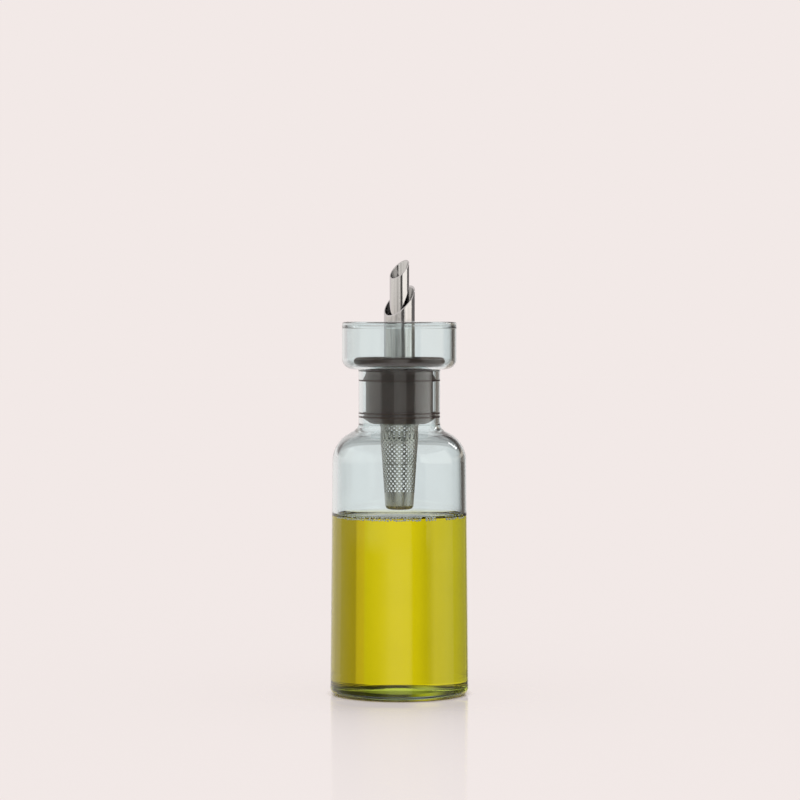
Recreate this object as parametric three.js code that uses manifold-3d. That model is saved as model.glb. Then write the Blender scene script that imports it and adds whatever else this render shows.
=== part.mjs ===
// Oil dispenser: a slightly tapered glass bottle with a drip cup on top of its neck, closed by a silicone
// stopper that carries a double steel pouring spout above and a perforated steel strainer below.
// Millimetres, +Z up. The origin is the centre of the bottle's foot, on the surface it stands on.
import * as THREE from "three";
import { mergeVertices } from "three/addons/utils/BufferGeometryUtils.js";
import Module from "manifold-3d";

// Bottle, outside
const baseDiameter = 66.0;
const bodyTaper = 1.2; // the body narrows this much on the radius, from foot to shoulder
const shoulderHeight = 119.8; // where the line of the body meets the line of the shoulder
const shoulderSlopeDeg = 30; // of the shoulder, from the horizontal
const shoulderRadius = 15;
const neckDiameter = 38.9;
const neckFootRadius = 4;
const neckLength = 28.0; // from the line of the shoulder to the underside of the cup
const cupOverhang = 7.8; // the cup's wall beyond the neck
const cupHeight = 22.5; // underside of the cup to the top of its rim
const cupCornerRadius = 5;
const cupRootRadius = 1; // between neck and cup
const heelRadius = 3; // rounded edge of the foot
const footRingWidth = 7; // flat ring that the bottle stands on
const puntDepth = 0.8; // shallow hollow inside that ring

// Bottle, thickness of the glass and the inside's rounded edges
const bodyWall = 2.4;
const shoulderWall = 2.2;
const neckWall = 2.0;
const cupWall = 2.2;
const cupFloorThickness = 1.5;
const baseThickness = 2.4;
const domeHeight = 2.6; // of the floor inside, over the hollow of the foot
const domeShoulder = 0.75; // share of that height at half the dome's radius
const domeRounding = 30;
const innerHeelRadius = 1.5;
const mouthRadius = 1.5; // where the cup's floor runs into the neck
const rimRadius = 1.1; // rounding of the fire-polished rim
const rimBead = 0.14; // how far the rim stands into the cup
const rimBeadHeight = 1.5;
const rimBeadRunout = 1.6; // below the bead, back to the cup's wall

// Silicone stopper
const flangeGap = 3.35; // between the flange and the cup's wall
const flangeThickness = 4.0;
const flangeEdgeRadius = 1.9;
const plugGap = 1.45; // between the plug and the neck, on the radius
const plugFootRise = 1.95; // the plug ends this far above the foot of the neck
const upperLipDrop = 7.3; // flange to the lower edge of the upper lip
const upperLipHeight = 3.4;
const lipLand = 0.7; // straight edge of the upper lip
const lowerRibs = 2;
const lowerRibPitch = 1.7;
const lowerRibHeight = 0.9;
const lowerGrooveDepth = 0.7; // between the lower ribs
const noseHeight = 3.0; // tapered end of the plug, below the lower ribs
const noseLand = 3.9; // flat ring around the strainer's socket
const noseRadius = 6;

// Steel spout: a pouring tube inside a wider tube that leads drips and air back into the bottle
const pouringTubeDiameter = 9.3;
const pouringTubeWall = 0.5;
const pouringTubeReach = 14.9; // middle of its slanted end above that of the return tube
const pouringTubeDip = 5.0; // below the foot of the return tube
const returnGap = 2.15; // open ring between the two tubes
const returnTubeWall = 0.6;
const returnTubeRise = 27.0; // flange to the middle of its slanted end
const spoutCutDeg = 45; // slant of both ends
const spoutTipDeg = 45; // where the high side of both ends lies, from +X towards +Y
const footRimThickness = 0.8; // rim that keeps the return tube from being pulled out upwards

// Star-shaped spacers that hold the pouring tube in the middle of the return tube
const spacerHeight = 3.0;
const spacerRing = 0.8; // thickness of the ring around the pouring tube
const spacerArms = 3;
const spacerArmDeg = 40; // width of an arm, seen from the axis
const upperSpacerDrop = 6.0; // below the lowest point of the return tube's slanted end
const lowerSpacerRise = 2.0; // above the foot of the return tube

// Perforated steel strainer
const strainerStep = 2.0; // its rim is wider than the return tube, on the radius
const strainerTaper = 2.75; // from the stopper to its foot, on the radius
const strainerLength = 40.7; // below the stopper
const strainerRimLength = 9.0; // inside the stopper
const strainerWall = 0.5;
const strainerFootRadius = 2.2; // rounded edge of its foot
const plainFootLength = 7.6; // foot to the middle of the lowest holes
const plainTopLength = 1.6; // stopper to the middle of the highest holes
const holeColumns = 12; // in one row; the next row is turned by half a pitch
const holeRows = 9;
const holeSize = 1.5; // across the corners of a diamond

// Clearances
const seatGap = 0.05; // between faces that rest on each other
const lipGap = 0.15; // lips to glass, on the radius
const tubeGap = 0.1; // steel in its bore, on the radius
const rimGap = 0.6; // strainer to the return tube's foot rim

// Roundness
const bodySides = 40;
const tubeSides = 32;
const arcTolerance = 0.12; // how far the straight steps of an arc may lie from it

// Radii and heights that follow
const slope = THREE.MathUtils.degToRad(shoulderSlopeDeg);
const spoutCut = THREE.MathUtils.degToRad(spoutCutDeg);
const baseRadius = baseDiameter / 2;
const bodyTopRadius = baseRadius - bodyTaper;
const puntRadius = baseRadius - heelRadius - footRingWidth;
const neckRadius = neckDiameter / 2;
const neckBore = neckRadius - neckWall;
const neckFootHeight = shoulderHeight + (bodyTopRadius - neckRadius) * Math.tan(slope);
const cupRadius = neckRadius + cupOverhang;
const cupBore = cupRadius - cupWall;
const cupUnderside = neckFootHeight + neckLength;
const cupFloor = cupUnderside + cupFloorThickness;
const rimHeight = cupUnderside + cupHeight;

const pouringTubeRadius = pouringTubeDiameter / 2;
const returnTubeBore = pouringTubeRadius + returnGap;
const returnTubeRadius = returnTubeBore + returnTubeWall;
const strainerTopRadius = returnTubeRadius + strainerStep;
const strainerBottomRadius = strainerTopRadius - strainerTaper;

const flangeUnderside = cupFloor + seatGap;
const flangeTop = flangeUnderside + flangeThickness;
const plugFoot = neckFootHeight + plugFootRise;
const strainerFoot = plugFoot - strainerLength;
const strainerRim = plugFoot + strainerRimLength;
const returnTubeFoot = strainerRim + rimGap;
const socketCeiling = returnTubeFoot + footRimThickness + seatGap;
const returnTubeMiddle = flangeTop + returnTubeRise;
const returnTubeLowSide = returnTubeMiddle - returnTubeRadius * Math.tan(spoutCut);
const pouringTubeFoot = returnTubeFoot - pouringTubeDip;
const pouringTubeMiddle = returnTubeMiddle + pouringTubeReach;

const glass = new THREE.MeshStandardMaterial({
  color: 0xc4d6da,
  roughness: 0.03,
  metalness: 0,
  transparent: true,
  opacity: 0.35,
});
const silicone = new THREE.MeshStandardMaterial({ color: 0x3f3937, roughness: 0.55, metalness: 0 });
const steel = new THREE.MeshStandardMaterial({ color: 0xc9c7c2, roughness: 0.18, metalness: 1 });
const sieveSteel = new THREE.MeshStandardMaterial({ color: 0xa9a9a2, roughness: 0.3, metalness: 1 });

const wasm = await Module();
wasm.setup();

function toManifold(geometry) {
  const bare = geometry.clone().deleteAttribute("normal").deleteAttribute("uv");
  const merged = mergeVertices(bare);
  const vertProperties = merged.attributes.position.array;
  const triVerts = new Uint32Array(merged.index.array);
  return new wasm.Manifold(new wasm.Mesh({ numProp: 3, vertProperties, triVerts }));
}

function fromManifold(manifold) {
  const mesh = manifold.getMesh();
  return new THREE.BufferGeometry()
    .setAttribute("position", new THREE.BufferAttribute(mesh.vertProperties, 3))
    .setIndex(new THREE.BufferAttribute(mesh.triVerts, 1));
}

// Points on a circle's arc, close enough together to stay within the tolerance.
function arc(centre, radius, from, to) {
  const step = 2 * Math.acos(Math.max(0, 1 - arcTolerance / radius));
  const steps = Math.max(1, Math.ceil(Math.abs(to - from) / step));
  return Array.from({ length: steps + 1 }, (_, i) => {
    const angle = THREE.MathUtils.lerp(from, to, i / steps);
    return new THREE.Vector2(Math.cos(angle), Math.sin(angle)).multiplyScalar(radius).add(centre);
  });
}

// Points along an outline of corners [radius, height, rounding]. A rounding becomes an arc, and two
// roundings that would meet on a short side share its length. The first and last corners stay sharp.
function roundedOutline(corners) {
  const points = corners.map(([r, z]) => new THREE.Vector2(r, z));
  const sides = points.slice(1).map((point, i) => point.clone().sub(points[i]));
  const turns = sides.slice(1).map((side, i) => {
    const turn = side.angle() - sides[i].angle();
    return Math.atan2(Math.sin(turn), Math.cos(turn));
  });
  const reaches = points.map((_, i) => {
    const inside = i > 0 && i < points.length - 1;
    return inside ? (corners[i][2] ?? 0) * Math.tan(Math.abs(turns[i - 1]) / 2) : 0;
  });
  const shares = sides.map((side, i) => Math.min(1, side.length() / (reaches[i] + reaches[i + 1] || 1e-9)));
  return points.flatMap((corner, i) => {
    if (!reaches[i]) return [corner];
    const turn = turns[i - 1];
    const reach = 0.995 * reaches[i] * Math.min(shares[i - 1], shares[i]);
    const radius = reach / Math.tan(Math.abs(turn) / 2);
    const along = sides[i - 1].clone().normalize();
    const inward = new THREE.Vector2(-along.y, along.x).multiplyScalar(Math.sign(turn));
    const centre = corner.clone().addScaledVector(along, -reach).addScaledVector(inward, radius);
    const from = inward.clone().negate().angle();
    return arc(centre, radius, from, from + turn);
  });
}

// A body of revolution about Z. The outline runs anticlockwise, seen with the radius to the right.
function turned(outline, sides) {
  return new THREE.LatheGeometry(outline, sides).rotateX(Math.PI / 2);
}

function turnedRing(corners, sides) {
  const outline = roundedOutline(corners);
  return turned([...outline, outline[0].clone()], sides);
}

// The inner face of the shoulder, parallel to the outer one and one wall below it.
function innerShoulder(radius) {
  return neckFootHeight - (radius - neckRadius) * Math.tan(slope) - shoulderWall / Math.cos(slope);
}

function glassBottle() {
  const bodyTopBore = bodyTopRadius - bodyWall;
  const rimBore = cupBore - rimBead;
  const beadFoot = rimHeight - rimBeadHeight;
  const outside = roundedOutline([
    [0, puntDepth],
    [puntRadius, 0],
    [baseRadius, 0, heelRadius],
    [bodyTopRadius, shoulderHeight, shoulderRadius],
    [neckRadius, neckFootHeight, neckFootRadius],
    [neckRadius, cupUnderside, cupRootRadius],
    [cupRadius, cupUnderside, cupCornerRadius],
    [cupRadius, rimHeight, rimRadius],
    [rimBore, rimHeight, rimRadius],
    [rimBore, beadFoot],
  ]);
  const inside = roundedOutline([
    [cupBore, beadFoot - rimBeadRunout],
    [cupBore, cupFloor, cupCornerRadius - cupFloorThickness],
    [neckBore, cupFloor, mouthRadius],
    [neckBore, innerShoulder(neckBore), neckFootRadius],
    [bodyTopBore, innerShoulder(bodyTopBore), shoulderRadius - bodyWall],
    [baseRadius - bodyWall, baseThickness, innerHeelRadius],
    [puntRadius, baseThickness, domeRounding],
    [puntRadius / 2, baseThickness + domeShoulder * domeHeight, domeRounding],
    [0, baseThickness + domeHeight],
  ]);
  return turned([...outside, ...inside], bodySides);
}

function siliconeStopper() {
  const socket = strainerTopRadius + tubeGap;
  const bore = returnTubeRadius + tubeGap;
  const plug = neckBore - plugGap;
  const lip = neckBore - lipGap;
  const flange = cupBore - flangeGap;
  const upperLip = flangeUnderside - upperLipDrop;
  const ribs = Array.from({ length: lowerRibs }, (_, i) => {
    const ribFoot = plugFoot + noseHeight + i * lowerRibPitch;
    const ribTop = ribFoot + lowerRibHeight;
    const rib = [[lip, ribFoot], [lip, ribTop]];
    if (i === lowerRibs - 1) return [...rib, [plug, ribTop]];
    const groove = lip - lowerGrooveDepth;
    return [...rib, [groove, ribTop], [groove, ribFoot + lowerRibPitch]];
  }).flat();
  return turnedRing(
    [
      [socket, socketCeiling],
      [socket, plugFoot],
      [socket + noseLand, plugFoot, noseRadius],
      ...ribs,
      [plug, upperLip],
      [lip, upperLip],
      [lip, upperLip + lipLand],
      [plug, upperLip + upperLipHeight],
      [plug, flangeUnderside],
      [flange, flangeUnderside, flangeEdgeRadius],
      [flange, flangeTop, flangeEdgeRadius],
      [bore, flangeTop],
      [bore, socketCeiling],
    ],
    bodySides,
  );
}

// Cuts a tube off along a slanted plane that crosses the axis at the given height.
function cutSlanted(tube, height) {
  tube.computeBoundingSphere();
  const size = 2 * tube.boundingSphere.radius;
  const knife = new THREE.BoxGeometry(size, size, size)
    .translate(0, 0, size / 2)
    .rotateY(-spoutCut)
    .rotateZ(THREE.MathUtils.degToRad(spoutTipDeg))
    .translate(0, 0, height);
  return fromManifold(toManifold(tube).subtract(toManifold(knife)));
}

function pouringTube() {
  const bore = pouringTubeRadius - pouringTubeWall;
  const uncutTop = pouringTubeMiddle + pouringTubeDiameter * Math.tan(spoutCut);
  const tube = turnedRing(
    [
      [bore, pouringTubeFoot],
      [pouringTubeRadius, pouringTubeFoot],
      [pouringTubeRadius, uncutTop],
      [bore, uncutTop],
    ],
    tubeSides,
  );
  return cutSlanted(tube, pouringTubeMiddle);
}

function returnTube() {
  const uncutTop = returnTubeMiddle + 2 * returnTubeRadius * Math.tan(spoutCut);
  const footRimTop = returnTubeFoot + footRimThickness;
  const tube = turnedRing(
    [
      [returnTubeBore, returnTubeFoot],
      [strainerTopRadius, returnTubeFoot],
      [strainerTopRadius, footRimTop],
      [returnTubeRadius, footRimTop],
      [returnTubeRadius, uncutTop],
      [returnTubeBore, uncutTop],
    ],
    tubeSides,
  );
  return cutSlanted(tube, returnTubeMiddle);
}

// A ring around the pouring tube, with arms that reach the bore of the return tube.
function tubeSpacer() {
  const axis = new THREE.Vector2();
  const bore = pouringTubeRadius + tubeGap;
  const reach = returnTubeBore - tubeGap;
  const pitch = (2 * Math.PI) / spacerArms;
  const halfArm = THREE.MathUtils.degToRad(spacerArmDeg / 2);
  const outline = Array.from({ length: spacerArms }, (_, i) => [
    ...arc(axis, reach, i * pitch - halfArm, i * pitch + halfArm),
    ...arc(axis, bore + spacerRing, i * pitch + halfArm, (i + 1) * pitch - halfArm),
  ]).flat();
  const hole = Array.from({ length: tubeSides }, (_, i) => {
    const angle = (2 * Math.PI * i) / tubeSides;
    return new THREE.Vector2(Math.cos(angle), Math.sin(angle)).multiplyScalar(bore);
  });
  const star = new THREE.Shape(outline);
  star.holes.push(new THREE.Path(hole));
  return new THREE.ExtrudeGeometry(star, { depth: spacerHeight, bevelEnabled: false });
}

// A diamond-shaped punch through the strainer's wall, at a height and an angle.
function punch(height, angle) {
  const share = (height - strainerFoot) / strainerLength;
  const radius = THREE.MathUtils.lerp(strainerBottomRadius, strainerTopRadius, share);
  return new THREE.CylinderGeometry(holeSize / 2, holeSize / 2, radius, 4)
    .rotateZ(Math.PI / 2)
    .translate(radius, 0, 0)
    .rotateZ(angle)
    .translate(0, 0, height);
}

// Each hole sits in the middle of a flat side, so that the sides carry holes by turns.
function strainer() {
  const sides = 2 * holeColumns;
  const sideAngle = (2 * Math.PI) / sides;
  const rimBore = strainerTopRadius - strainerWall;
  const cone = turned(
    roundedOutline([
      [0, strainerFoot],
      [strainerBottomRadius, strainerFoot, strainerFootRadius],
      [strainerTopRadius, plugFoot],
      [strainerTopRadius, strainerRim],
      [rimBore, strainerRim],
      [rimBore, plugFoot],
      [strainerBottomRadius - strainerWall, strainerFoot + strainerWall, strainerFootRadius - strainerWall],
      [0, strainerFoot + strainerWall],
    ]),
    sides,
  );
  const punches = [];
  for (let row = 0; row < holeRows; row++) {
    const share = row / (holeRows - 1);
    const height = THREE.MathUtils.lerp(strainerFoot + plainFootLength, plugFoot - plainTopLength, share);
    for (let column = 0; column < holeColumns; column++) {
      const side = 2 * column + (row % 2);
      punches.push(toManifold(punch(height, (side + 0.5) * sideAngle)));
    }
  }
  return fromManifold(toManifold(cone).subtract(wasm.Manifold.union(punches)));
}

function part(name, geometry, material, height = 0) {
  const mesh = new THREE.Mesh(geometry, material);
  mesh.name = name;
  mesh.position.z = height;
  return mesh;
}

const spout = new THREE.Group();
spout.add(part("pouring_tube", pouringTube(), steel));
spout.add(part("drip_return_tube", returnTube(), steel));
const upperSpacerFoot = returnTubeLowSide - upperSpacerDrop - spacerHeight;
spout.add(part("upper_tube_spacer", tubeSpacer(), steel, upperSpacerFoot));
spout.add(part("lower_tube_spacer", tubeSpacer(), steel, returnTubeFoot + lowerSpacerRise));

const stopper = new THREE.Group();
stopper.add(part("silicone_stopper", siliconeStopper(), silicone));
stopper.add(part("strainer", strainer(), sieveSteel));
stopper.add(spout);

const dispenser = new THREE.Group();
dispenser.add(part("glass_bottle", glassBottle(), glass));
dispenser.add(stopper);

export default dispenser;
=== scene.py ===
import math
import random

import bpy
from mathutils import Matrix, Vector


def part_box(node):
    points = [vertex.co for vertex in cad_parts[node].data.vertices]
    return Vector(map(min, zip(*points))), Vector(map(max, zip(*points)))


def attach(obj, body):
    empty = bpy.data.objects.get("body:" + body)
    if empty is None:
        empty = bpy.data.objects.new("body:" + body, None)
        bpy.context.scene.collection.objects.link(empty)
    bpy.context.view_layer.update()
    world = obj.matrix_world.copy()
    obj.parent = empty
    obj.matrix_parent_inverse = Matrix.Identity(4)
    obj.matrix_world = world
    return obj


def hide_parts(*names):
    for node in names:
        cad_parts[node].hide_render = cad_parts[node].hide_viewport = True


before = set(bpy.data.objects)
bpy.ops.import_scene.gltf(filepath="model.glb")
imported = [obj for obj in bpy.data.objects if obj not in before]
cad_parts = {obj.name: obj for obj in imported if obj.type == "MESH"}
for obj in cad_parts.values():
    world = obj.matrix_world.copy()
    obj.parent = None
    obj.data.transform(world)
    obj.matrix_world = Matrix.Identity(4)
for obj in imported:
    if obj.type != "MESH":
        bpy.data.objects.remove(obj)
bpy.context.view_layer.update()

MM = 0.001  # metres in a millimetre

# Bottle, in millimetres, as the solid has it
BASE_RADIUS = 33.0
BODY_TAPER = 1.2
SHOULDER_HEIGHT = 119.8
SHOULDER_SLOPE = math.radians(30)
SHOULDER_RADIUS = 15.0
NECK_RADIUS = 19.45
NECK_FOOT_RADIUS = 4.0
NECK_LENGTH = 28.0
CUP_OVERHANG = 7.8
CUP_HEIGHT = 22.5
CUP_CORNER_RADIUS = 5.0
CUP_ROOT_RADIUS = 1.0
HEEL_RADIUS = 3.0
FOOT_RING_WIDTH = 7.0
PUNT_DEPTH = 0.8
DOME_HEIGHT = 2.6  # of the floor inside, over the punt
BODY_WALL = 2.4
SHOULDER_WALL = 2.2
NECK_WALL = 2.0
CUP_WALL = 2.2
CUP_FLOOR_THICKNESS = 1.5
BASE_THICKNESS = 2.4
INNER_HEEL_RADIUS = 1.5
MOUTH_RADIUS = 1.5
DOME_SHOULDER = 0.75  # share of the dome's height at half its radius
DOME_ROUNDING = 30.0
RIM_RADIUS = 1.1
RIM_BEAD = 0.14  # how far the rim's bead stands into the cup
RIM_BEAD_HEIGHT = 1.5
RIM_BEAD_RUNOUT = 1.6

# Stopper
FLANGE_THICKNESS = 4.0
FLANGE_EDGE_RADIUS = 1.9
LIP_PRESS = 0.05  # the soft lips press into the glass
PLUG_GAP = 1.45
UPPER_LIP_DROP = 7.3
UPPER_LIP_HEIGHT = 3.4
LIP_LAND = 0.7
LOWER_RIBS = 2
LOWER_RIB_PITCH = 1.7
LOWER_RIB_HEIGHT = 0.9
LOWER_GROOVE_DEPTH = 0.7
NOSE_HEIGHT = 3.0
NOSE_LAND = 3.9
NOSE_RADIUS = 6.0
BORE_GAP = 0.1
BORE_EDGE_RADIUS = 0.4
LIP_EDGE_RADIUS = 0.3
RIB_EDGE_RADIUS = 0.2
PLUG_ROOT_RADIUS = 0.5

# Spout
SPOUT_CUT = math.radians(45)
SPOUT_TIP = math.radians(45)
POURING_TUBE_WALL = 0.5
RETURN_TUBE_RADIUS = 7.4
RETURN_TUBE_WALL = 0.6
FOOT_RIM_THICKNESS = 0.8
TUBE_EDGE_RADIUS = 0.2
TUBE_EDGE_MIDDLE = 0.3  # share of that radius, at the middle of the rounding
SHADED_TONE = 0.6  # share of the steel's tone where it is in full shade
RETURN_TUBE_SHADE = 1.0  # inside the tube
POURING_TUBE_SHADE = 0.1

# Strainer
STRAINER_TAPER = 2.75
STRAINER_WALL = 0.3
STRAINER_FOOT_RADIUS = 2.2
STRAINER_RIM_RADIUS = 0.2
HOLE_RADIUS = 0.57
HOLE_SIDES = 8  # one for each corner of the cell around it
HOLE_COLUMNS = 22
HOLE_ROWS = 27
HOLE_ROW_PITCH = 1.19
PLAIN_TOP_LENGTH = 0.6
FOOT_ROW_LEAN = 0.056  # slope of the rows of holes, down to the back
TOP_ROW_LEAN = 0.014

# Oil
OIL_LEVEL = 84.7
OIL_OVERLAP = 0.03  # into the glass, so that oil and glass touch
MENISCUS_HEIGHT = 1.9
MENISCUS_REACH = 1.6
MENISCUS_SPAN = 6 * MENISCUS_REACH  # from the wall to where the surface is level
MENISCUS_STEPS = 16
GLASS_IOR = 1.5
UNDERSIDE_FROST = 0.06  # roughness of the glass that the bottle stands on
OIL_IOR = 1.47

# Froth on the wall where the oil's surface climbs it: stretches are (first angle, last angle, rows), in
# degrees from +X
FROTH_SEED = 7
FROTH_RADII = (0.4, 0.68)
FROTH_SPACING = (1.0, 1.35)  # in diameters
FROTH_FOOT = 0.25  # of the lowest row, over the oil's level
FROTH_ROW_PITCH = 1.1
FROTH_SCATTER = 0.25  # of the beads up and down, in row pitches
BEAD_SIDES = 12
BEAD_RINGS = 9
BEAD_FLATNESS = 0.9
FROTH_STRETCHES = [
    (-160, -142, 1), (-142, -112, 2), (-112, -70, 2), (-65, -56, 2), (-43, -28, 1), (-24, -12, 1),
    (10, 34, 1), (148, 172, 1),
]

# Fineness of the turned meshes
ARC_STEP = math.radians(5)
BOTTLE_SIDES = 192
TUBE_SIDES = 96
SMOOTH_ANGLE = math.radians(40)
BRACE = 0.15  # from an arc's end to the extra ring beside it
LEAST_BRACED = 3 * BRACE  # shorter straight sides have no extra ring
REACH_SHARE = 0.995  # of a side that the roundings at its ends may take up
TINY = 1e-6

# Heights and radii that follow
PUNT_RADIUS = BASE_RADIUS - HEEL_RADIUS - FOOT_RING_WIDTH
BODY_TOP_RADIUS = BASE_RADIUS - BODY_TAPER
NECK_FOOT_HEIGHT = SHOULDER_HEIGHT + (BODY_TOP_RADIUS - NECK_RADIUS) * math.tan(SHOULDER_SLOPE)
NECK_BORE = NECK_RADIUS - NECK_WALL
CUP_RADIUS = NECK_RADIUS + CUP_OVERHANG
CUP_BORE = CUP_RADIUS - CUP_WALL
CUP_UNDERSIDE = NECK_FOOT_HEIGHT + NECK_LENGTH
CUP_FLOOR = CUP_UNDERSIDE + CUP_FLOOR_THICKNESS
RIM_HEIGHT = CUP_UNDERSIDE + CUP_HEIGHT


def node_box(node):
    """Lowest and highest corner of a solid, in millimetres."""
    low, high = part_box(node)
    return low / MM, high / MM


# Outlines: lists of (radius, height) in millimetres, anticlockwise with the radius to the right


def arc(centre, radius, start, end):
    steps = max(1, math.ceil(abs(end - start) / ARC_STEP))
    angles = [start + (end - start) * i / steps for i in range(steps + 1)]
    return [Vector((centre[0] + radius * math.cos(a), centre[1] + radius * math.sin(a))) for a in angles]


def rounded(corners):
    """Points along corners (radius, height, rounding), with each rounding as an arc. An extra point on the
    straight side by an arc's end keeps the arc's smooth shading off that side."""
    points = [Vector(c[:2]) for c in corners]
    sides = [b - a for a, b in zip(points, points[1:])]
    turns = [0.0] + [-a.angle_signed(b) for a, b in zip(sides, sides[1:])] + [0.0]
    roundings = [c[2] if len(c) > 2 else 0.0 for c in corners]
    wishes = [r * math.tan(abs(t) / 2) for r, t in zip(roundings, turns)]
    shares = [min(1.0, s.length / max(a + b, TINY)) for s, a, b in zip(sides, wishes, wishes[1:])]
    reaches = [REACH_SHARE * w * min(a, b) for w, a, b in zip(wishes, [1.0] + shares, shares + [1.0])]
    spares = [s.length - a - b for s, a, b in zip(sides, reaches, reaches[1:])]
    outline = []
    for i, corner in enumerate(points):
        reach = reaches[i]
        if not reach:
            outline.append(corner)
            continue
        radius = reach / math.tan(abs(turns[i]) / 2)
        along = sides[i - 1].normalized()
        onward = sides[i].normalized()
        inward = Vector((-along.y, along.x)) * math.copysign(1.0, turns[i])
        centre = corner - along * reach + inward * radius
        start = math.atan2(-inward.y, -inward.x)
        if spares[i - 1] > LEAST_BRACED:
            outline.append(corner - along * (reach + BRACE))
        outline += arc(centre, radius, start, start + turns[i])
        if spares[i] > LEAST_BRACED:
            outline.append(corner + onward * (reach + BRACE))
    return outline


# Meshes


def add_piece(name, verts, faces, material, body, slot, replaced=(), **face_values):
    """A smooth-shaded piece, from points in millimetres, that rides on a body. Values told for its
    faces are kept in attributes."""
    mesh = bpy.data.meshes.new(name)
    mesh.from_pydata([Vector(v) * MM for v in verts], [], faces)
    mesh.shade_smooth()
    mesh.set_sharp_from_angle(angle=SMOOTH_ANGLE)
    mesh.materials.append(material)
    for attribute, values in face_values.items():
        mesh.attributes.new(attribute, "FLOAT", "FACE").data.foreach_set("value", values)
    piece = bpy.data.objects.new(name, mesh)
    bpy.context.scene.collection.objects.link(piece)
    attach(piece, body)
    if replaced:
        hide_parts(*replaced)


def on_circle(radius, angle, height):
    return (radius * math.cos(angle), radius * math.sin(angle), height)


def circle(radius, height, sides):
    return [on_circle(radius, math.tau * j / sides, height) for j in range(sides)]


def add_ring(verts, radius, height, sides):
    """Add a circle of points and tell their places in the list. On the axis it is one point, repeated."""
    first = len(verts)
    if radius < TINY:
        verts.append((0.0, 0.0, height))
        return [first] * sides
    verts += circle(radius, height, sides)
    return list(range(first, first + sides))


def join_rings(faces, rings):
    """Add the faces between each ring of points and the next."""
    for low, high in zip(rings, rings[1:]):
        for j in range(len(low)):
            k = (j + 1) % len(low)
            corners = [low[j], low[k], high[k], high[j]]
            faces.append(list(dict.fromkeys(corners)))


def turned(outline, sides, closed=False):
    """Points and faces of a body of revolution about Z."""
    verts, faces = [], []
    rings = [add_ring(verts, r, z, sides) for r, z in outline]
    join_rings(faces, rings + rings[:1] if closed else rings)
    return verts, faces


# Bottle and oil


def inner_shoulder(radius):
    """Height of the shoulder's inner face, one wall below the outer one."""
    drop = (radius - NECK_RADIUS) * math.tan(SHOULDER_SLOPE) + SHOULDER_WALL / math.cos(SHOULDER_SLOPE)
    return NECK_FOOT_HEIGHT - drop


def make_bottle(material):
    body_top_bore = BODY_TOP_RADIUS - BODY_WALL
    rim_bore = CUP_BORE - RIM_BEAD
    bead_foot = RIM_HEIGHT - RIM_BEAD_HEIGHT
    oil_edge = OIL_LEVEL + MENISCUS_HEIGHT
    oil_line = Vector((bore_at(oil_edge), oil_edge))
    outline = rounded([
        (0, PUNT_DEPTH),
        (PUNT_RADIUS / 2, PUNT_DEPTH * DOME_SHOULDER, DOME_ROUNDING),
        (PUNT_RADIUS, 0, DOME_ROUNDING),
        (BASE_RADIUS, 0, HEEL_RADIUS),
        (BODY_TOP_RADIUS, SHOULDER_HEIGHT, SHOULDER_RADIUS),
        (NECK_RADIUS, NECK_FOOT_HEIGHT, NECK_FOOT_RADIUS),
        (NECK_RADIUS, CUP_UNDERSIDE, CUP_ROOT_RADIUS),
        (CUP_RADIUS, CUP_UNDERSIDE, CUP_CORNER_RADIUS),
        (CUP_RADIUS, RIM_HEIGHT, RIM_RADIUS),
        (rim_bore, RIM_HEIGHT, RIM_RADIUS),
        (rim_bore, bead_foot, RIM_RADIUS),
        (CUP_BORE, bead_foot - RIM_BEAD_RUNOUT, RIM_RADIUS),
        (CUP_BORE, CUP_FLOOR, CUP_CORNER_RADIUS - CUP_FLOOR_THICKNESS),
        (NECK_BORE, CUP_FLOOR, MOUTH_RADIUS),
        (NECK_BORE, inner_shoulder(NECK_BORE), NECK_FOOT_RADIUS),
        (body_top_bore, inner_shoulder(body_top_bore), SHOULDER_RADIUS - BODY_WALL),
        tuple(oil_line),
        *reversed(floor_corners()),
    ])
    wet_from = min(range(len(outline)), key=lambda i: (outline[i] - oil_line).length)
    verts, faces = turned(outline, BOTTLE_SIDES)
    iors, frost = [], []
    for i in range(len(outline) - 1):
        iors += [GLASS_IOR / OIL_IOR if i >= wet_from else GLASS_IOR] * BOTTLE_SIDES
        underside = outline[i].y <= PUNT_DEPTH and outline[i + 1].y <= PUNT_DEPTH
        frost += [UNDERSIDE_FROST if underside else 0.0] * BOTTLE_SIDES
    add_piece(
        "bottle_glass", verts, faces, material, "bottle", "glass", ["glass_bottle"], ior=iors, frost=frost
    )


def floor_corners(overlap=0.0):
    """Corners of the domed floor inside the bottle, from the axis out to the wall."""
    foot = BASE_THICKNESS - overlap
    return [
        (0, foot + DOME_HEIGHT),
        (PUNT_RADIUS / 2, foot + DOME_HEIGHT * DOME_SHOULDER, DOME_ROUNDING),
        (PUNT_RADIUS, foot, DOME_ROUNDING),
        (bore_at(foot) + overlap, foot, INNER_HEEL_RADIUS + overlap),
    ]


def bore_at(height):
    """Inner radius of the bottle's body at a height."""
    body_top_bore = BODY_TOP_RADIUS - BODY_WALL
    rise = inner_shoulder(body_top_bore) - BASE_THICKNESS
    return BASE_RADIUS - BODY_WALL - BODY_TAPER * (height - BASE_THICKNESS) / rise


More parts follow.
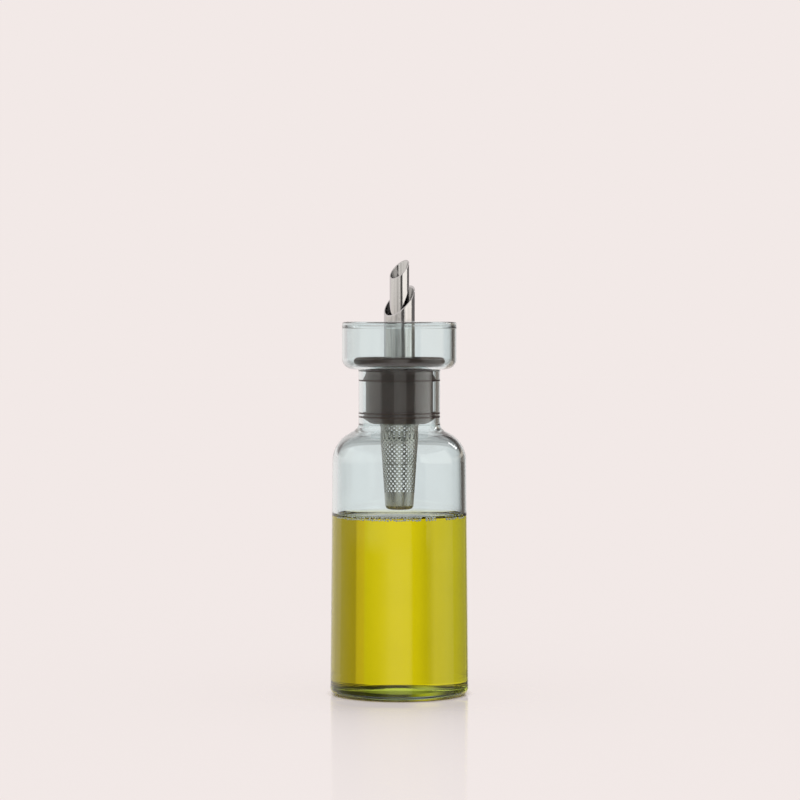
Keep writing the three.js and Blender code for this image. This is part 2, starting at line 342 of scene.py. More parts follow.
def make_oil(material):
    edge_height = OIL_LEVEL + MENISCUS_HEIGHT
    edge = bore_at(edge_height) + OIL_OVERLAP
    below = rounded([*floor_corners(OIL_OVERLAP), (edge, edge_height)])
    surface = []
    for i in range(1, MENISCUS_STEPS + 1):
        inset = MENISCUS_SPAN * (i / MENISCUS_STEPS) ** 2
        rise = MENISCUS_HEIGHT * math.exp(-inset / MENISCUS_REACH)
        surface.append(Vector((edge - inset, OIL_LEVEL + rise)))
    outline = below + surface + [Vector((0, OIL_LEVEL))]
    verts, faces = turned(outline, BOTTLE_SIDES)
    iors = []
    for i in range(len(outline) - 1):
        iors += [1.0 if i < len(below) - 1 else OIL_IOR] * BOTTLE_SIDES
    add_piece("oil_fill", verts, faces, material, "bottle", "oil", ior=iors, frost=[0.0] * len(iors))


def make_froth(material):
    """Small beads side by side against the wall, in rows up the edge of the oil's surface."""
    draw = random.Random(FROTH_SEED)
    verts, faces = [], []
    for first, last, rows in FROTH_STRETCHES:
        for row in range(rows):
            angle = math.radians(first)
            while angle < math.radians(last):
                radius = draw.uniform(*FROTH_RADII)
                scatter = draw.uniform(-FROTH_SCATTER, FROTH_SCATTER)
                height = OIL_LEVEL + FROTH_FOOT + FROTH_ROW_PITCH * (row + scatter)
                wall = bore_at(height)
                add_bead(verts, faces, Vector(on_circle(wall - radius, angle, height)), radius)
                angle += 2 * radius * draw.uniform(*FROTH_SPACING) / wall
    add_piece("oil_froth", verts, faces, material, "bottle", "oil")


def add_bead(verts, faces, place, radius):
    """A slightly flattened closed bead."""
    angles = [math.pi * (i / BEAD_RINGS - 0.5) for i in range(BEAD_RINGS + 1)]
    outline = [(radius * math.cos(a), BEAD_FLATNESS * radius * math.sin(a)) for a in angles]
    bead_verts, bead_faces = turned(outline, BEAD_SIDES)
    first = len(verts)
    verts += [Vector(v) + place for v in bead_verts]
    faces += [[first + i for i in face] for face in bead_faces]


# Stopper


def make_stopper(material):
    low, high = node_box("silicone_stopper")
    socket = node_box("strainer")[1].x + BORE_GAP
    bore = RETURN_TUBE_RADIUS + BORE_GAP
    flange_top = high.z
    flange_underside = flange_top - FLANGE_THICKNESS
    plug_foot = low.z
    ceiling = node_box("drip_return_tube")[0].z + FOOT_RIM_THICKNESS
    plug = NECK_BORE - PLUG_GAP
    lip = NECK_BORE + LIP_PRESS
    upper_lip = flange_underside - UPPER_LIP_DROP
    ribs = []
    for i in range(LOWER_RIBS):
        rib_foot = plug_foot + NOSE_HEIGHT + i * LOWER_RIB_PITCH
        rib_top = rib_foot + LOWER_RIB_HEIGHT
        groove = plug if i == LOWER_RIBS - 1 else lip - LOWER_GROOVE_DEPTH
        corners = [(lip, rib_foot), (lip, rib_top), (groove, rib_top)]
        if i < LOWER_RIBS - 1:
            corners.append((groove, rib_foot + LOWER_RIB_PITCH))
        ribs += [(*corner, RIB_EDGE_RADIUS) for corner in corners]
    outline = rounded([
        (socket, ceiling),
        (socket, plug_foot, LIP_EDGE_RADIUS),
        (socket + NOSE_LAND, plug_foot, NOSE_RADIUS),
        *ribs,
        (plug, upper_lip, LIP_EDGE_RADIUS),
        (lip, upper_lip, RIB_EDGE_RADIUS),
        (lip, upper_lip + LIP_LAND, LIP_EDGE_RADIUS),
        (plug, upper_lip + UPPER_LIP_HEIGHT, PLUG_ROOT_RADIUS),
        (plug, flange_underside, PLUG_ROOT_RADIUS),
        (high.x, flange_underside, FLANGE_EDGE_RADIUS),
        (high.x, flange_top, FLANGE_EDGE_RADIUS),
        (bore, flange_top, BORE_EDGE_RADIUS),
        (bore, ceiling),
    ])
    verts, faces = turned(outline, BOTTLE_SIDES, closed=True)
    add_piece(
        "stopper_silicone", verts, faces, material, "stopper", "silicone", ["silicone_stopper"]
    )


# Spout


def make_tube(name, node, radius, wall, foot_rim, inside_shade, material):
    """A steel tube with a slanted end whose edges are slightly rounded, and a shaded inside."""
    low, high = node_box(node)
    middle = high.z - radius * math.tan(SPOUT_CUT)
    bore = radius - wall
    outline = [(bore, low.z), (radius, low.z)]
    if foot_rim:
        rim_top = low.z + FOOT_RIM_THICKNESS
        outline = [(bore, low.z), (high.x, low.z), (high.x, rim_top), (radius, rim_top)]
    verts, faces = [], []
    rings = [add_ring(verts, r, z, TUBE_SIDES) for r, z in outline]
    edge = TUBE_EDGE_RADIUS
    cut = TUBE_EDGE_MIDDLE * edge
    rim = [(radius, edge + BRACE), (radius, edge), (radius - cut, cut), (radius - edge, 0)]
    rim += [(bore + edge, 0), (bore + cut, cut), (bore, edge), (bore, edge + BRACE)]
    for r, drop in rim:
        first = len(verts)
        for j in range(TUBE_SIDES):
            angle = math.tau * j / TUBE_SIDES
            height = middle + r * math.cos(angle - SPOUT_TIP) * math.tan(SPOUT_CUT) - drop
            verts.append(on_circle(r, angle, height))
        rings.append(list(range(first, first + TUBE_SIDES)))
    join_rings(faces, rings + rings[:1])
    shade = [0.0] * (len(faces) - TUBE_SIDES) + [inside_shade] * TUBE_SIDES
    add_piece(name, verts, faces, material, "spout", "polished_steel", [node], shade=shade)


# Strainer


def add_hole(verts, radius_at, angle, height):
    """Add the points around a round hole in a cone and tell their places in the list."""
    first = len(verts)
    for i in range(HOLE_SIDES):
        turn = math.tau * i / HOLE_SIDES
        across = HOLE_RADIUS * math.cos(turn) / radius_at(height)
        z = height + HOLE_RADIUS * math.sin(turn)
        verts.append(on_circle(radius_at(z), angle + across, z))
    return list(range(first, first + HOLE_SIDES))


def add_perforated(verts, faces, foot, radius_at, inside):
    """Add a perforated face of a cone, in rows of cells with a round hole each. Tells its lowest and
    highest ring of points and the rings around its holes."""
    pitch = math.tau / HOLE_COLUMNS
    half_columns = 2 * HOLE_COLUMNS
    levels = [foot + i * HOLE_ROW_PITCH for i in range(HOLE_ROWS + 1)]
    lines = [add_ring(verts, radius_at(level), level, half_columns) for level in levels]
    holes = []
    for row, (below, above) in enumerate(zip(lines, lines[1:])):
        height = foot + (row + 0.5) * HOLE_ROW_PITCH
        shift = row % 2
        angles = [pitch * (c + shift / 2) for c in range(HOLE_COLUMNS)]
        first = len(verts)
        verts += [on_circle(radius_at(height), angle, height) for angle in angles]
        for c, angle in enumerate(angles):
            a, b, d = [(2 * c + shift + i) % half_columns for i in range(3)]
            border = [
                first + (c + 1) % HOLE_COLUMNS, above[d], above[b], above[a],
                first + c, below[a], below[b], below[d],
            ]
            hole = add_hole(verts, radius_at, angle + pitch / 2, height)
            join_rings(faces, [hole, border] if inside else [border, hole])
            holes.append(hole)
    return lines[0], lines[-1], holes


def lean_rows(verts, foot, top):
    """Let the rows of holes slope down to the back, most of all near the foot."""
    for i, (x, y, z) in enumerate(verts):
        share = (z - foot) / (top - foot)
        slope = FOOT_ROW_LEAN + (TOP_ROW_LEAN - FOOT_ROW_LEAN) * share
        verts[i] = (x, y, z - y * slope)


def make_strainer(material):
    low, high = node_box("strainer")
    plug_foot = node_box("silicone_stopper")[0].z
    rim_radius = high.x
    rim_bore = rim_radius - STRAINER_WALL
    foot_radius = rim_radius - STRAINER_TAPER
    floor = low.z + STRAINER_WALL
    band_top = plug_foot - PLAIN_TOP_LENGTH
    band_foot = band_top - HOLE_ROWS * HOLE_ROW_PITCH

    def outer(height):
        return foot_radius + STRAINER_TAPER * (height - low.z) / (plug_foot - low.z)

    def inner(height):
        return outer(height) - STRAINER_WALL

    def add_rings(outline):
        return [add_ring(verts, r, z, 2 * HOLE_COLUMNS) for r, z in outline]

    verts, faces = [], []
    out_foot, out_top, out_holes = add_perforated(verts, faces, band_foot, outer, inside=False)
    in_foot, in_top, in_holes = add_perforated(verts, faces, band_foot, inner, inside=True)
    lean_rows(verts, band_foot, band_top)
    for rings in zip(out_holes, in_holes):
        join_rings(faces, rings)
    rim = rounded([
        (outer(band_top), band_top),
        (rim_radius, plug_foot),
        (rim_radius, high.z, STRAINER_RIM_RADIUS),
        (rim_bore, high.z, STRAINER_RIM_RADIUS),
        (rim_bore, plug_foot),
        (inner(band_top), band_top),
    ])
    outside = rounded([
        (0, low.z),
        (foot_radius, low.z, STRAINER_FOOT_RADIUS),
        (outer(band_foot), band_foot),
    ])
    inside = rounded([
        (inner(band_foot), band_foot),
        (foot_radius - STRAINER_WALL, floor, STRAINER_FOOT_RADIUS - STRAINER_WALL),
        (0, floor),
    ])
    join_rings(faces, [out_top, *add_rings(rim[1:-1]), in_top])
    join_rings(faces, [*add_rings(outside[:-1]), out_foot])
    join_rings(faces, [in_foot, *add_rings(inside[1:])])
    add_piece("strainer_sieve", verts, faces, material, "strainer", "perforated_steel", ["strainer"])


# Materials

NOISE_RANGE = (0.3, 0.7)  # where nearly all of the noise lies
GLASS_DEPTH = ((0.2, 0.7, 0.6), 8.0)  # colour that is let through, and density per metre
OIL_DEPTH = ((1.0, 0.954, 0.05), 95.0)
GLASS_TINT = (0.91, 0.985, 1.0)
CLEAR = (1.0, 1.0, 1.0)
SILICONE_COLOUR = (0.068, 0.04, 0.031)
BRIGHT_STEEL = (0.63, 0.63, 0.632)
SIEVE_STEEL = (0.62, 0.6, 0.55)


def new_material(name):
    material = bpy.data.materials.new(name)
    material.use_nodes = True
    nodes = material.node_tree.nodes
    return material, nodes, material.node_tree.links, nodes["Principled BSDF"]


def noise(nodes, links, scale, detail, stretch=(1, 1, 1)):
    """Noise that stays with the piece. The scale is per metre, and the stretch is along X, Y and Z."""
    place = nodes.new("ShaderNodeTexCoord")
    mapping = nodes.new("ShaderNodeMapping")
    mapping.inputs["Scale"].default_value = [1 / s for s in stretch]
    texture = nodes.new("ShaderNodeTexNoise")
    texture.inputs["Scale"].default_value = scale
    texture.inputs["Detail"].default_value = detail
    links.new(place.outputs["Object"], mapping.inputs["Vector"])
    links.new(mapping.outputs["Vector"], texture.inputs["Vector"])
    return texture.outputs["Fac"]


def toned(nodes, links, factor, dark, light):
    """A colour that runs from dark to light with the factor."""
    ramp = nodes.new("ShaderNodeValToRGB")
    ramp.color_ramp.elements[0].position = NOISE_RANGE[0]
    ramp.color_ramp.elements[0].color = (*dark, 1)
    ramp.color_ramp.elements[1].position = NOISE_RANGE[1]
    ramp.color_ramp.elements[1].color = (*light, 1)
    links.new(factor, ramp.inputs["Fac"])
    return ramp.outputs["Color"]


def ranged(nodes, links, factor, low, high):
    """A number that runs from low to high with the factor."""
    span = nodes.new("ShaderNodeMapRange")
    span.inputs["From Min"].default_value = NOISE_RANGE[0]
    span.inputs["From Max"].default_value = NOISE_RANGE[1]
    span.inputs["To Min"].default_value = low
    span.inputs["To Max"].default_value = high
    links.new(factor, span.inputs["Value"])
    return span.outputs["Result"]


def combined(nodes, links, operation, *values):
    """A number worked out from two values, which are outputs or constants."""
    step = nodes.new("ShaderNodeMath")
    step.operation = operation
    for value, socket in zip(values, step.inputs):
        if isinstance(value, bpy.types.NodeSocket):
            links.new(value, socket)
        else:
            socket.default_value = value
    return step.outputs[0]


def add_relief(nodes, links, shader, height, depth):
    """Relief of a depth in millimetres."""
    bump = nodes.new("ShaderNodeBump")
    bump.inputs["Strength"].default_value = 1.0
    bump.inputs["Distance"].default_value = depth * MM
    links.new(height, bump.inputs["Height"])
    links.new(bump.outputs["Normal"], shader.inputs["Normal"])


def shaded(colour, share):
    """A colour at a share of its strength."""
    return tuple(share * c for c in colour)


def clear_material(name, tint, ior, absorbed, density, clouding, waviness):
    """A clear material with the colour that its depth takes on, faint clouds in its tint and faint waves in
    its surface. Its faces hold their own roughness and their own IOR, the ratio of the two sides, because
    oil and glass meet there without air."""
    material, nodes, links, shader = new_material(name)
    stored = nodes.new("ShaderNodeAttribute")
    stored.attribute_name = "ior"
    links.new(stored.outputs["Fac"], shader.inputs["IOR"])
    frost = nodes.new("ShaderNodeAttribute")
    frost.attribute_name = "frost"
    links.new(frost.outputs["Fac"], shader.inputs["Roughness"])
    clouds = noise(nodes, links, scale=90, detail=3, stretch=(1, 1, 2))
    colour = toned(nodes, links, clouds, dark=shaded(tint, 1 - clouding), light=tint)
    links.new(colour, shader.inputs["Base Color"])
    waves = noise(nodes, links, scale=45, detail=1, stretch=(1, 1, 1.5))
    add_relief(nodes, links, shader, waves, waviness)
    shader.inputs["IOR"].default_value = ior
    shader.inputs["Transmission Weight"].default_value = 1.0
    absorption = nodes.new("ShaderNodeVolumeAbsorption")
    absorption.inputs["Color"].default_value = (*absorbed, 1)
    absorption.inputs["Density"].default_value = density
    links.new(absorption.outputs["Volume"], nodes["Material Output"].inputs["Volume"])
    return material


def froth_material():
    """Milky froth, with some beads a little darker than others."""
    material, nodes, links, shader = new_material("oil_froth")
    spots = noise(nodes, links, scale=900, detail=2)
    colour = toned(nodes, links, spots, dark=(0.85, 0.85, 0.8), light=(1.0, 1.0, 0.98))
    links.new(colour, shader.inputs["Base Color"])
    shader.inputs["Roughness"].default_value = 0.1
    return material


def silicone_material():
    """Satin dark silicone, a little cloudy, with the fine grain of its mould."""
    material, nodes, links, shader = new_material("dark_silicone")
    clouds = noise(nodes, links, scale=160, detail=4)
    dark, light = shaded(SILICONE_COLOUR, 0.85), shaded(SILICONE_COLOUR, 1.15)
    links.new(toned(nodes, links, clouds, dark, light), shader.inputs["Base Color"])
    grain = noise(nodes, links, scale=5000, detail=2)
    links.new(ranged(nodes, links, grain, low=0.4, high=0.52), shader.inputs["Roughness"])
    add_relief(nodes, links, shader, grain, depth=0.006)
    return material


def steel_material(name, colour, roughness):
    """Drawn steel, with fine streaks along its axis in tone, gloss and relief. Faces told to be in
    shade, inside a tube, are darker."""
    material, nodes, links, shader = new_material(name)
    streaks = noise(nodes, links, scale=1800, detail=3, stretch=(1, 1, 40))
    tone = nodes.new("ShaderNodeVectorMath")
    tone.operation = "SCALE"
    dark, light = shaded(colour, 0.9), shaded(colour, 1.08)
    links.new(toned(nodes, links, streaks, dark, light), tone.inputs["Vector"])
    shade = nodes.new("ShaderNodeAttribute")
    shade.attribute_name = "shade"
    lost = combined(nodes, links, "MULTIPLY", shade.outputs["Fac"], SHADED_TONE - 1.0)
    links.new(combined(nodes, links, "ADD", lost, 1.0), tone.inputs["Scale"])
    links.new(tone.outputs["Vector"], shader.inputs["Base Color"])
    gloss = ranged(nodes, links, streaks, low=0.75 * roughness, high=1.25 * roughness)
    links.new(gloss, shader.inputs["Roughness"])
    add_relief(nodes, links, shader, streaks, depth=0.004)
    shader.inputs["Metallic"].default_value = 1.0
    return material


# Studio

FLOOR_RADIUS = 6.0
PATCH_RADIUS = 0.037
PATCH_SIDES = 96
FLOOR_GLOW = 0.85  # share of the floor's light that the object doesn't shade
SHADE_START = 0.031  # the floor is unlit under the bottle, out to here
SHADE_END = 0.036
REFLECTION_MOST = 0.75  # share of a gloss like glass, near the foot
REFLECTION_STRENGTH = 1.08  # at the edge of the foot, before that limit
REFLECTION_FALL = 1.06  # power of the distance that it falls with
NEAR_DISTANCE = 1.1
FAR_DISTANCE = 5.0
SHEET_STEP = 3.0  # degrees
CEILING_HEIGHT = 0.77
CEILING_GLOW = 0.05
LAMP_ANGLES = (127, 135)  # degrees from the camera's side, to the right
LAMP_HEIGHTS = (0.41, 0.72)
LAMP_DISTANCE = 0.9
LAMP_STRENGTH = 6.0
LOWEST_GLOW = 0.74  # share of a sheet's light at its lowest edge
WARM = (1.0, 0.955, 0.9)
AMBER = (1.04, 0.875, 0.77)
BROWN = (0.888, 0.735, 0.62)
BACKGROUND = (0.888, 0.815, 0.799)  # pale warm white, linear

CAMERA_SIDE = 0.0003
CAMERA_DISTANCE = 1.4
CAMERA_HEIGHT = 0.186
AIM_HEIGHT = 0.1402
FRAME_WIDTH = 0.381  # of the picture, at the object's axis

# Zones of the object that the sheets light one by one, each from its foot to its top
OIL_ZONE = (-0.3, 0.08)
BODY_ZONE = (0.088, 0.122)
STOPPER_ZONE = (0.128, 0.1565)
CUP_ZONE = (0.16, 0.176)
SPOUT_ZONE = (0.179, 0.21)
ZONES = [OIL_ZONE, BODY_ZONE, STOPPER_ZONE, CUP_ZONE, SPOUT_ZONE]
FRONT_COLOURS = [WARM, WARM, WARM, AMBER, WARM]

# What the far sheets show above the zones: heights that the oil's surface and the base of the glass
# reflect, and the dark above
SURFACE_BAND = (0.36, 0.52)
BASE_BAND = (0.6, 0.8)
DARK_BAND = (0.95, 4.0)

# Strengths of the sheets: (angle from the camera's side in degrees, positive to the right; oil, body,
# stopper, cup, spout)
FRONT = [
    (-116, 0.55, 0.38, 0.95, 0.85, 0.98),
    (-100, 0.32, 0.38, 0.95, 0.66, 0.98),
    (-85, 0.15, 0.38, 0.95, 0.58, 0.98),
    (-70, 0.17, 0.38, 0.93, 0.58, 1.0),
    (-64, 0.18, 0.38, 0.92, 0.46, 0.74),
    (-58, 0.1, 0.39, 0.91, 0.38, 0.98),
    (-54.2, 0.04, 0.4, 0.9, 0.38, 1.0),
    (-53.8, 0.04, 0.65, 0.25, 0.38, 1.0),
    (-37, 0.12, 0.65, 0.25, 0.62, 1.02),
    (-24, 0.36, 0.62, 0.25, 0.16, 0.76),
    (-15.2, 0.72, 0.6, 0.25, 0.2, 0.8),
    (-14.8, 0.72, 0.6, 0.6, 0.2, 0.8),
    (0, 0.84, 0.6, 0.6, 0.29, 1.05),
    (12, 0.74, 0.56, 0.54, 0.27, 0.92),
    (12.4, 0.74, 0.56, 0.54, 0.14, 0.1),
    (17, 0.7, 0.55, 0.52, 0.13, 0.08),
    (20, 0.45, 0.5, 0.5, 0.13, 0.08),
    (20.4, 0.35, 0.06, 0.15, 0.13, 0.08),
    (23, 0.03, 0.06, 0.15, 0.13, 0.08),
    (36.8, 0.04, 0.06, 0.15, 0.14, 0.12),
    (37.2, 0.04, 0.06, 0.15, 0.14, 1.45),
    (43.8, 0.05, 0.06, 0.15, 0.16, 1.45),
    (44.2, 0.05, 0.06, 0.15, 1.05, 1.45),
    (45.8, 0.05, 0.06, 0.15, 1.05, 1.45),
    (46.2, 0.08, 0.56, 1.2, 1.05, 1.45),
    (53, 0.3, 0.56, 1.3, 1.05, 1.45),
    (60, 0.66, 0.56, 1.5, 1.0, 1.4),
    (84, 0.7, 0.56, 1.9, 0.9, 1.4),
    (102, 0.52, 0.56, 2.0, 0.9, 1.4),
]
# The same behind the object, with the surface, base and dark bands after them
BACK_RIGHT = [
    (102, 0.5, 0.12, 0.22, 0.12, 0.6, 0.66, 0.03, 0.05),
    (152.6, 0.5, 0.12, 0.22, 0.12, 0.6, 0.66, 0.05, 0.05),
    (154.4, 0.74, 0.12, 0.22, 0.12, 0.6, 0.66, 0.1, 0.05),
    (160, 0.82, 0.3, 0.3, 0.5, 0.8, 0.66, 0.2, 0.05),
]
BACK = [
    (160, 0.82, 0.3, 0.3, 0.5, 0.8, 0.66, 0.2, 0.05),
    (164, 0.87, 0.75, 0.75, 0.95, 1.0, 0.66, 0.28, 0.04),
    (168, 0.92, 0.95, 0.95, 1.0, 1.0, 0.66, 0.35, 0.04),
    (176, 1.0, 1.0, 1.0, 1.0, 1.0, 0.66, 0.45, 0.04),
    (184, 1.0, 1.0, 1.0, 1.0, 1.0, 0.66, 0.45, 0.05),
    (190, 0.88, 1.0, 1.0, 1.0, 1.0, 0.66, 0.38, 0.45),
    (194, 0.77, 1.0, 1.0, 1.0, 1.0, 0.66, 0.3, 0.6),
    (197, 0.75, 1.0, 1.0, 1.0, 1.0, 0.66, 0.26, 0.6),
    (201, 0.83, 0.98, 0.98, 0.88, 1.0, 0.66, 0.2, 0.5),
    (210, 0.81, 0.95, 0.95, 0.74, 1.0, 0.66, 0.06, 0.06),
    (218, 0.75, 0.9, 0.9, 0.7, 1.0, 0.66, 0.04, 0.05),
    (231, 0.67, 0.85, 0.85, 0.7, 1.0, 0.66, 0.03, 0.05),
    (244, 0.62, 0.8, 0.8, 0.7, 1.0, 0.66, 0.03, 0.05),
]


def make_world():
    """White ambient light, and a pale background wherever it is seen."""
    world = bpy.data.worlds.new("studio")
    bpy.context.scene.world = world
    world.use_nodes = True
    nodes, links = world.node_tree.nodes, world.node_tree.links
    nodes.clear()
    rays = nodes.new("ShaderNodeLightPath").outputs
    seen = combined(nodes, links, "ADD", rays["Is Camera Ray"], rays["Is Glossy Ray"])
    seen = combined(nodes, links, "ADD", seen, rays["Is Transmission Ray"])
    seen = combined(nodes, links, "MINIMUM", seen, 1.0)
    ambient = nodes.new("ShaderNodeBackground")
    ambient.inputs["Color"].default_value = (1, 1, 1, 1)
    backdrop = nodes.new("ShaderNodeBackground")
    backdrop.inputs["Color"].default_value = (*BACKGROUND, 1)
    output = nodes.new("ShaderNodeOutputWorld")
    links.new(mixed(nodes, links, seen, ambient, backdrop).outputs[0], output.inputs["Surface"])


def bare_material(name):
    """A material for the studio, with nothing but its output."""
    material = bpy.data.materials.new(name)
    material.use_nodes = True
    nodes, links = material.node_tree.nodes, material.node_tree.links
    nodes.clear()
    return material, nodes, links, nodes.new("ShaderNodeOutputMaterial").inputs["Surface"]


def mixed(nodes, links, share, first, second):
    """Two shaders, with the share that the second one has."""
    mix = nodes.new("ShaderNodeMixShader")
    links.new(share, mix.inputs["Fac"])
    links.new(first.outputs[0], mix.inputs[1])
    links.new(second.outputs[0], mix.inputs[2])
    return mix


def make_floor():
    """A round patch that the bottle stands on, and a wide floor about it that only the camera and
    soft light see, so that the cards reach down to the foot in the glass."""
    material = floor_material()
    inner = circle(PATCH_RADIUS, 0, PATCH_SIDES)
    outer = circle(FLOOR_RADIUS, 0, PATCH_SIDES)
    stage_mesh("floor_patch", inner, [list(range(PATCH_SIDES))], material)
    faces = []
    for j in range(PATCH_SIDES):
        k = (j + 1) % PATCH_SIDES
        faces.append([j, PATCH_SIDES + j, PATCH_SIDES + k, k])
    floor = stage_mesh("floor", inner + outer, faces, material)
    floor.visible_glossy = False
    floor.visible_transmission = False


def stage_mesh(name, verts, faces, material):
    mesh = bpy.data.meshes.new(name)
    mesh.from_pydata(verts, [], faces)
    mesh.materials.append(material)
    stage = bpy.data.objects.new(name, mesh)
    bpy.context.scene.collection.objects.link(stage)
    return stage


def floor_material():
    """Pale and matt, with a weak reflection that fades away from the bottle."""
    material, nodes, links, surface = bare_material("floor")
    diffuse = nodes.new("ShaderNodeBsdfDiffuse")
    diffuse.inputs["Color"].default_value = (*BACKGROUND, 1)
    glow = nodes.new("ShaderNodeEmission")
    glow.inputs["Color"].default_value = (*BACKGROUND, 1)
    place = nodes.new("ShaderNodeTexCoord")
    length = nodes.new("ShaderNodeVectorMath")
    length.operation = "LENGTH"
    links.new(place.outputs["Object"], length.inputs[0])
    distance = length.outputs["Value"]
    shade = nodes.new("ShaderNodeMapRange")
    shade.interpolation_type = "SMOOTHSTEP"
    shade.inputs["From Min"].default_value = SHADE_START
    shade.inputs["From Max"].default_value = SHADE_END
    shade.inputs["To Max"].default_value = FLOOR_GLOW
    links.new(distance, shade.inputs["Value"])
    matt = mixed(nodes, links, shade.outputs["Result"], diffuse, glow)
    glossy = nodes.new("ShaderNodeBsdfGlossy")
    glossy.inputs["Color"].default_value = (1, 1, 1, 1)
    glossy.inputs["Roughness"].default_value = 0.05
    gloss = nodes.new("ShaderNodeFresnel")
    gloss.inputs["IOR"].default_value = GLASS_IOR
    near = combined(nodes, links, "DIVIDE", SHADE_END, distance)
    near = combined(nodes, links, "POWER", near, REFLECTION_FALL)
    near = combined(nodes, links, "MULTIPLY", near, REFLECTION_STRENGTH)
    near = combined(nodes, links, "MINIMUM", near, REFLECTION_MOST)
    share = combined(nodes, links, "MULTIPLY", near, gloss.outputs[0])
    links.new(mixed(nodes, links, share, matt, glossy).outputs[0], surface)
    return material


def reached(height, distance):
    """Height at which the camera's view reaches a sheet, by way of an upright face at a height."""
    return height - (CAMERA_HEIGHT - height) * distance / CAMERA_DISTANCE


def around(distance, degrees, height):
    """A point about the object's axis, at an angle from the camera's side, positive to the right."""
    angle = math.radians(degrees)
    return (distance * math.sin(angle), -distance * math.cos(angle), height)


def make_sheet(name, stations, bands, distance, colours, seen, other):
    """An upright curved sheet of light about the object. Each station has an angle and the strength in each
    band of heights, and the strengths run smoothly from station to station. Its lowest edge is dimmer."""
    heights = [height for band in bands for height in band]
    columns = []
    for first, last in zip(stations, stations[1:]):
        steps = max(1, round((last[0] - first[0]) / SHEET_STEP))
        for i in range(steps):
            columns.append([a + (b - a) * i / steps for a, b in zip(first, last)])
    columns.append(stations[-1])
    verts, faces, glows = [], [], []
    for degrees, *strengths in columns:
        verts += [around(distance, degrees, height) for height in heights]
        for band, strength in enumerate(strengths):
            for share in (LOWEST_GLOW if band == 0 else 1.0, 1.0):
                glows.append(shaded(colours[band], strength * share))
    count = len(heights)
    for i in range(len(columns) - 1):
        for j in range(count - 1):
            low = i * count + j
            faces.append((low, low + count, low + count + 1, low + 1))
    add_card(name, verts, faces, glows, seen, other)


def make_sheets():
    near = [tuple(reached(height, NEAR_DISTANCE) for height in zone) for zone in ZONES]
    near[-1] = (near[-1][0], CEILING_HEIGHT)
    far = [tuple(reached(height, FAR_DISTANCE) for height in zone) for zone in ZONES]
    far += [SURFACE_BAND, BASE_BAND, DARK_BAND]
    brown = [BROWN] * len(far)
    pale = [BACKGROUND] * len(far)
    make_sheet("front_sheet", FRONT, near, NEAR_DISTANCE, FRONT_COLOURS, "Glossy Depth", other=0.6)
    make_sheet("back_right_sheet", BACK_RIGHT, far, FAR_DISTANCE, brown, "Transmission Depth", other=0.2)
    make_sheet("back_sheet", BACK, far, FAR_DISTANCE, pale, "Transmission Depth", other=0.95)


def make_ceiling():
    """A round card over the object, on top of the near sheet, which only glass sees as dark."""
    verts = circle(NEAR_DISTANCE, CEILING_HEIGHT, PATCH_SIDES)
    glows = [shaded(WARM, CEILING_GLOW)] * PATCH_SIDES
    add_card("ceiling", verts, [list(range(PATCH_SIDES))], glows, "Transmission Depth", other=0.95)


def make_lamp():
    """A tall lamp at the right, behind the object, which only gloss shows."""
    material, nodes, links, surface = bare_material("lamp")
    material.cycles.emission_sampling = "NONE"
    glow = nodes.new("ShaderNodeEmission")
    glow.inputs["Strength"].default_value = LAMP_STRENGTH
    links.new(glow.outputs[0], surface)
    verts = [around(LAMP_DISTANCE, degrees, height) for degrees in LAMP_ANGLES for height in LAMP_HEIGHTS]
    lamp = stage_mesh("lamp", verts, [(0, 2, 3, 1)], material)
    hide(lamp)
    lamp.visible_transmission = False


def hide(card):
    """Keep a card from the camera and from soft light, and let it throw no shadow."""
    card.visible_camera = False
    card.visible_diffuse = False
    card.visible_shadow = False


def add_card(name, verts, faces, glows, seen, other):
    """A card of light, with a colour at each of its points."""
    card = stage_mesh(name, verts, faces, card_material(name, seen, other))
    stored = card.data.attributes.new("glow", "FLOAT_COLOR", "POINT")
    stored.data.foreach_set("color", [value for glow in glows for value in (*glow, 1.0)])
    hide(card)


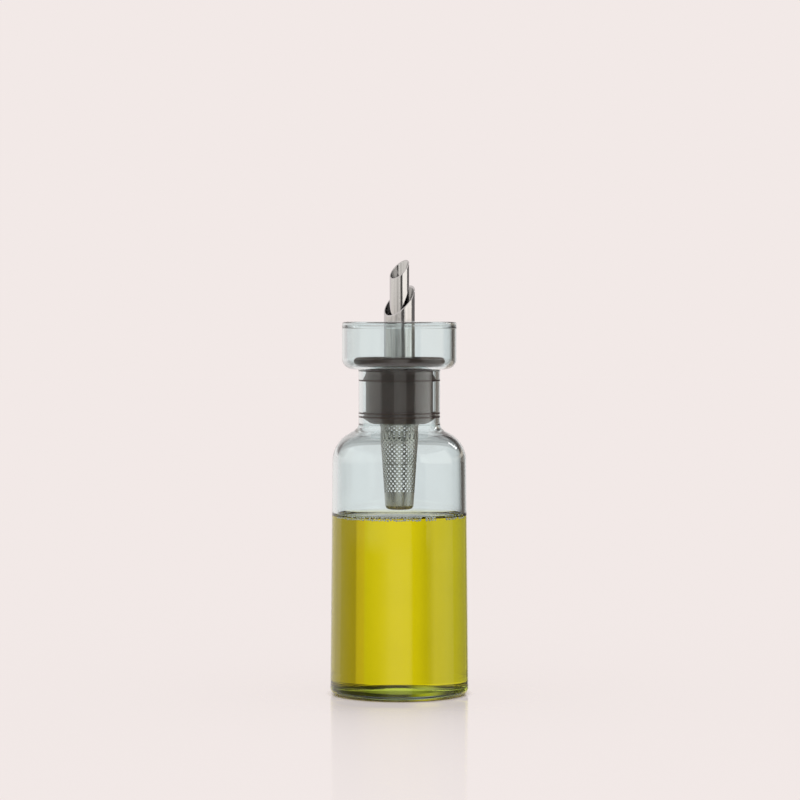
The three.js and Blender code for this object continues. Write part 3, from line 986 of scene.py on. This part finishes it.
def card_material(name, seen, other):
    """A card's light, for rays whose depth of the kind that is told is one or more. Other rays find
    the background in its place, at the other strength, or at its full strength for soft light."""
    material, nodes, links, surface = bare_material(name)
    material.cycles.emission_sampling = "NONE"
    stored = nodes.new("ShaderNodeAttribute")
    stored.attribute_name = "glow"
    glow = nodes.new("ShaderNodeEmission")
    links.new(stored.outputs["Color"], glow.inputs["Color"])
    rays = nodes.new("ShaderNodeLightPath").outputs
    soft = combined(nodes, links, "MINIMUM", rays["Diffuse Depth"], 1.0)
    backdrop = nodes.new("ShaderNodeEmission")
    backdrop.inputs["Color"].default_value = (*BACKGROUND, 1)
    links.new(combined(nodes, links, "MAXIMUM", soft, other), backdrop.inputs["Strength"])
    told = combined(nodes, links, "MINIMUM", rays[seen], 1.0)
    chosen = combined(nodes, links, "GREATER_THAN", told, soft)
    links.new(mixed(nodes, links, chosen, backdrop, glow).outputs[0], surface)
    return material


def make_camera():
    data = bpy.data.cameras.new("camera")
    camera = bpy.data.objects.new("camera", data)
    bpy.context.scene.collection.objects.link(camera)
    camera.location = (CAMERA_SIDE, -CAMERA_DISTANCE, CAMERA_HEIGHT)
    aim = Vector((CAMERA_SIDE, 0, AIM_HEIGHT))
    camera.rotation_euler = (aim - camera.location).to_track_quat("-Z", "Y").to_euler()
    data.sensor_width = 36
    data.lens = data.sensor_width * (aim - camera.location).length / FRAME_WIDTH
    data.clip_end = 50
    bpy.context.scene.camera = camera


# The scene

make_camera()
glass = clear_material("clear_glass", GLASS_TINT, GLASS_IOR, *GLASS_DEPTH, clouding=0.02, waviness=0.01)
oil = clear_material("olive_oil", CLEAR, OIL_IOR, *OIL_DEPTH, clouding=0.03, waviness=0.15)
silicone = silicone_material()
steel = steel_material("bright_steel", BRIGHT_STEEL, roughness=0.13)
sieve = steel_material("sieve_steel", SIEVE_STEEL, roughness=0.3)
make_bottle(glass)
make_oil(oil)
make_froth(froth_material())
make_stopper(silicone)
make_tube(
    "return_tube_steel", "drip_return_tube", RETURN_TUBE_RADIUS, RETURN_TUBE_WALL,
    foot_rim=True, inside_shade=RETURN_TUBE_SHADE, material=steel,
)
make_tube(
    "pouring_tube_steel", "pouring_tube", node_box("pouring_tube")[1].x, POURING_TUBE_WALL,
    foot_rim=False, inside_shade=POURING_TUBE_SHADE, material=steel,
)
make_strainer(sieve)
for node in ("upper_tube_spacer", "lower_tube_spacer"):
    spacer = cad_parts[node]
    spacer.data.materials.clear()
    spacer.data.materials.append(steel)
make_world()
make_floor()
make_sheets()
make_ceiling()
make_lamp()

scene = bpy.context.scene
scene.view_settings.view_transform = "Standard"
scene.cycles.max_bounces = 32
scene.cycles.transmission_bounces = 24
scene.cycles.glossy_bounces = 12
scene.cycles.use_denoising = True
